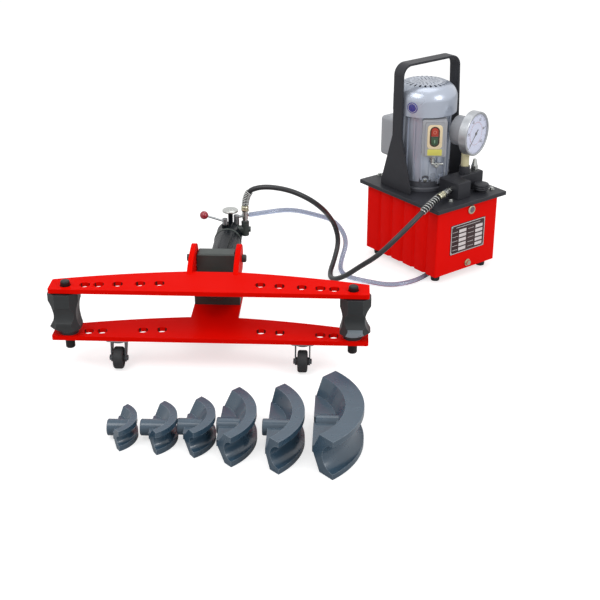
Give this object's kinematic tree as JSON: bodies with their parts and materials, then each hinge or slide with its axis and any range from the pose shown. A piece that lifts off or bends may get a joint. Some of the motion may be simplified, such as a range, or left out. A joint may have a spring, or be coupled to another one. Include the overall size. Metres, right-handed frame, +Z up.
{
  "type": "electric_pipe_bender",
  "caption": "Electric hydraulic pipe bender: two-wing bending frame with ram and turning rollers on castors, electric pump with gauge, hoses and a set of formers",
  "frame": {"origin": "on the floor under the middle of the whole set, without its hoses", "axes": "+X along the wings to the operator's right, +Y from the front edge of the wings to the rear, +Z up; the ram travels towards -Y"},
  "size_m": [1.063, 1.2656, 0.54],
  "materials": {
    "red_paint": "gloss red enamel",
    "black_paint": "satin black enamel",
    "cylinder_enamel": "gloss blue-black enamel",
    "bright_steel": "bright machined steel",
    "zinc_steel": "zinc-plated pressed steel",
    "ball_plastic": "moulded dark red ball",
    "roller_iron": "dark cast iron with a machined facet",
    "former_iron": "blue-grey painted cast iron",
    "rubber": "black rubber",
    "motor_paint": "silver-grey enamel",
    "switch_plastic": "moulded grey box with a cream panel",
    "stop_plastic": "red button",
    "start_plastic": "green button",
    "dial_white": "white printed dial",
    "needle_black": "black needle",
    "brass": "turned brass",
    "hose_rubber": "braided hose with a smooth black cover",
    "clear_vinyl": "clear soft tubing"
  },
  "bodies": {
    "frame": {"lower_wing": "red_paint", "cylinder_block": "black_paint", "frame_bolts": "black_paint", "cylinder_barrel": "cylinder_enamel", "cylinder_gland": "cylinder_enamel", "cylinder_end_ring": "bright_steel", "cylinder_end_cap": "cylinder_enamel", "return_spring": "bright_steel", "hose_port": "black_paint", "return_valve": "bright_steel", "roller_pins": "black_paint", "castor_plates": "zinc_steel", "tank": "red_paint", "tank_feet": "rubber", "top_plate": "black_paint", "sight_glass": "brass", "drain_plug": "brass", "pump_unit": "bright_steel", "motor_flange": "black_paint", "motor_body": "motor_paint", "motor_cowl": "motor_paint", "capacitor_box": "motor_paint", "switch_box": "switch_plastic", "carry_handle": "black_paint", "valve_block": "black_paint", "relief_valve": "bright_steel", "filler_cap": "black_paint", "gauge_case": "motor_paint", "gauge_dial": "dial_white", "gauge_stem": "brass", "pressure_hose": "hose_rubber", "return_hose": "clear_vinyl", "hose_guards": "bright_steel", "hose_ends": "bright_steel"},
    "ram": {"ram_rod": "bright_steel", "ram_piston": "bright_steel"},
    "wing": {"upper_wing": "red_paint", "wing_ears": "red_paint"},
    "release": {"release_lever": "bright_steel", "lever_ball": "ball_plastic"},
    "bleed": {"bleed_knob": "bright_steel"},
    "rotor": {"motor_rotor": "bright_steel", "motor_fan": "bright_steel"},
    "needle": {"gauge_needle": "needle_black"},
    "roller_left": {"roller_left": "roller_iron"},
    "roller_right": {"roller_right": "roller_iron"},
    "stop": {"stop_button": "stop_plastic"},
    "start": {"start_button": "start_plastic"},
    "castor_left": {"castor_fork_left": "zinc_steel"},
    "wheel_left": {"castor_wheel_left": "rubber"},
    "castor_right": {"castor_fork_right": "zinc_steel"},
    "wheel_right": {"castor_wheel_right": "rubber"},
    "castor_rear": {"castor_fork_rear": "zinc_steel"},
    "wheel_rear": {"castor_wheel_rear": "rubber"},
    "former_1_body": {"former_1": "former_iron"},
    "former_2_body": {"former_2": "former_iron"},
    "former_3_body": {"former_3": "former_iron"},
    "former_4_body": {"former_4": "former_iron"},
    "former_5_body": {"former_5": "former_iron"},
    "former_6_body": {"former_6": "former_iron"}
  },
  "joints": [
    {"name": "ram_slide", "type": "slide", "parent": "frame", "child": "ram", "axis": [0, -1, 0], "range_m": [0, 0.17], "deforming": ["return_spring"]},
    {"name": "wing_hinge", "type": "hinge", "parent": "frame", "child": "wing", "pos_m": [-0.1775, -0.02532, 0.193], "axis": [-1, 0, 0], "range_deg": [0, 100]},
    {"name": "release_lever_turn", "type": "hinge", "parent": "frame", "child": "release", "pos_m": [-0.1855, 0.23868, 0.17], "axis": [0, 0, 1], "range_deg": [0, 70]},
    {"name": "bleed_knob_turn", "type": "hinge", "parent": "frame", "child": "bleed", "pos_m": [-0.1745, 0.26868, 0.188], "axis": [0, 0, 1], "continuous": true},
    {"name": "motor_spin", "type": "hinge", "parent": "frame", "child": "rotor", "pos_m": [0.31439, 0.45692, 0.214], "axis": [0, 0, 1], "continuous": true},
    {"name": "needle_turn", "type": "hinge", "parent": "frame", "child": "needle", "pos_m": [0.44005, 0.40138, 0.364], "axis": [-0.809, 0.5878, 0], "range_deg": [0, 270]},
    {"name": "roller_left_turn", "type": "hinge", "parent": "frame", "child": "roller_left", "pos_m": [-0.4925, -0.19232, 0.081], "axis": [0, 0, 1], "continuous": true},
    {"name": "roller_right_turn", "type": "hinge", "parent": "frame", "child": "roller_right", "pos_m": [0.1375, -0.19232, 0.081], "axis": [0, 0, 1], "continuous": true},
    {"name": "castor_left_swivel", "type": "hinge", "parent": "frame", "child": "castor_left", "pos_m": [-0.3825, -0.19032, 0.071], "axis": [0, 0, 1], "continuous": true},
    {"name": "castor_left_wheel_spin", "type": "hinge", "parent": "castor_left", "child": "wheel_left", "pos_m": [-0.3825, -0.20532, 0.025], "axis": [1, 0, 0], "continuous": true},
    {"name": "castor_right_swivel", "type": "hinge", "parent": "frame", "child": "castor_right", "pos_m": [0.0275, -0.19032, 0.071], "axis": [0, 0, 1], "continuous": true},
    {"name": "castor_right_wheel_spin", "type": "hinge", "parent": "castor_right", "child": "wheel_right", "pos_m": [0.0275, -0.20532, 0.025], "axis": [1, 0, 0], "continuous": true},
    {"name": "castor_rear_swivel", "type": "hinge", "parent": "frame", "child": "castor_rear", "pos_m": [-0.1775, 0.00868, 0.071], "axis": [0, 0, 1], "continuous": true},
    {"name": "castor_rear_wheel_spin", "type": "hinge", "parent": "castor_rear", "child": "wheel_rear", "pos_m": [-0.1775, -0.00632, 0.025], "axis": [1, 0, 0], "continuous": true},
    {"name": "stop_press", "type": "slide", "parent": "frame", "child": "stop", "axis": [-0.0349, 0.9994, 0], "range_m": [0, 0.003], "stiffness_N_per_m": 400},
    {"name": "start_press", "type": "slide", "parent": "frame", "child": "start", "axis": [-0.0349, 0.9994, 0], "range_m": [0, 0.003], "stiffness_N_per_m": 400},
    {"name": "former_1_lift", "type": "slide", "parent": "frame", "child": "former_1_body", "axis": [0, 0, 1], "range_m": [0, 0.15]},
    {"name": "former_2_lift", "type": "slide", "parent": "frame", "child": "former_2_body", "axis": [0, 0, 1], "range_m": [0, 0.15]},
    {"name": "former_3_lift", "type": "slide", "parent": "frame", "child": "former_3_body", "axis": [0, 0, 1], "range_m": [0, 0.15]},
    {"name": "former_4_lift", "type": "slide", "parent": "frame", "child": "former_4_body", "axis": [0, 0, 1], "range_m": [0, 0.15]},
    {"name": "former_5_lift", "type": "slide", "parent": "frame", "child": "former_5_body", "axis": [0, 0, 1], "range_m": [0, 0.15]},
    {"name": "former_6_lift", "type": "slide", "parent": "frame", "child": "former_6_body", "axis": [0, 0, 1], "range_m": [0, 0.15]}
  ]
}
